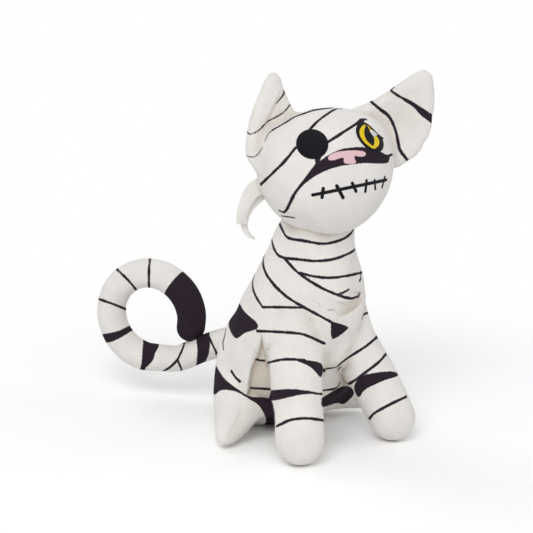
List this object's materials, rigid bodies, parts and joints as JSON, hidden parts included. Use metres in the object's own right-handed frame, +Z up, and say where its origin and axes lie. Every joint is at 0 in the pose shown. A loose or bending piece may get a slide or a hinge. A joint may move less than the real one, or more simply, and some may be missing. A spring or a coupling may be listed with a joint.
{
  "type": "stuffed toy cat",
  "caption": "Seated stuffed plush cat wrapped as a mummy, with a turning head, swinging front legs, a curled tail and loose bandage ends.",
  "frame": {"origin": "centre of the flat seat panel, on the surface that the cat sits on", "axes": "+Z up, -Y to the front, +X to the cat's own left"},
  "size_m": [0.1385, 0.2201, 0.2379],
  "materials": {
    "plush": "short-pile polyester plush, printed",
    "fibre": "polyester fibre fill",
    "canvas": "plain woven bag of plastic pellets",
    "thread_white": "polyester thread",
    "thread_black": "satin-stitched polyester thread",
    "thread_yellow": "satin-stitched polyester thread"
  },
  "bodies": {
    "body": {"torso_panel_left": "plush", "torso_panel_right": "plush", "seat_panel": "plush", "pellet_bag": "canvas", "torso_stuffing": "fibre", "closing_stitches": "thread_white", "hind_leg_cover_left": "plush", "hind_leg_cover_right": "plush", "hind_leg_stuffing_left": "fibre", "hind_leg_stuffing_right": "fibre"},
    "head": {"face_panel": "plush", "head_back_panel": "plush", "head_stuffing": "fibre", "ear_front_left": "plush", "ear_back_left": "plush", "ear_padding_left": "fibre", "ear_front_right": "plush", "ear_back_right": "plush", "ear_padding_right": "fibre", "eye_patch": "thread_black", "eye_outline": "thread_black", "eye_iris": "thread_yellow", "eye_pupil": "thread_black", "eye_glint": "thread_white", "mouth_stitching": "thread_black"},
    "front_leg_left": {"front_leg_outer_left": "plush", "front_leg_inner_left": "plush", "front_leg_stuffing_left": "fibre"},
    "front_leg_right": {"front_leg_outer_right": "plush", "front_leg_inner_right": "plush", "front_leg_stuffing_right": "fibre"},
    "tail": {"tail_cover": "plush", "tail_stuffing": "fibre"},
    "strip_wide": {"bandage_strip_wide": "plush"},
    "strip_narrow": {"bandage_strip_narrow": "plush"}
  },
  "joints": [
    {"name": "head_turn", "type": "hinge", "parent": "body", "child": "head", "pos_m": [0, -0.046, 0.141], "axis": [0, -0.2419, 0.9703], "range_deg": [-25, 25], "stiffness_Nm_per_rad": 0.1},
    {"name": "front_leg_swing_left", "type": "hinge", "parent": "body", "child": "front_leg_left", "pos_m": [0.0185, -0.0415, 0.09], "axis": [-0.8192, -0.5736, 0], "range_deg": [0, 20], "stiffness_Nm_per_rad": 0.05},
    {"name": "front_leg_swing_right", "type": "hinge", "parent": "body", "child": "front_leg_right", "pos_m": [-0.0185, -0.0415, 0.09], "axis": [-0.8192, 0.5736, 0], "range_deg": [0, 20], "stiffness_Nm_per_rad": 0.05},
    {"name": "tail_swing", "type": "hinge", "parent": "body", "child": "tail", "pos_m": [0, 0.03247, 0.0437], "axis": [0, 0, 1], "range_deg": [-12, 12], "stiffness_Nm_per_rad": 0.03},
    {"name": "strip_wide_fold", "type": "hinge", "parent": "head", "child": "strip_wide", "pos_m": [-0.03988, -0.03352, 0.1685], "axis": [-0.0934, 0.2005, 0.9752], "range_deg": [-25, 25]},
    {"name": "strip_narrow_fold", "type": "hinge", "parent": "head", "child": "strip_narrow", "pos_m": [-0.03565, -0.03207, 0.16212], "axis": [-0.0934, 0.2005, 0.9752], "range_deg": [-25, 25]}
  ],
  "couplings": [
    {"joint": "strip_narrow_fold", "follows": "strip_wide_fold", "ratio": 1}
  ]
}
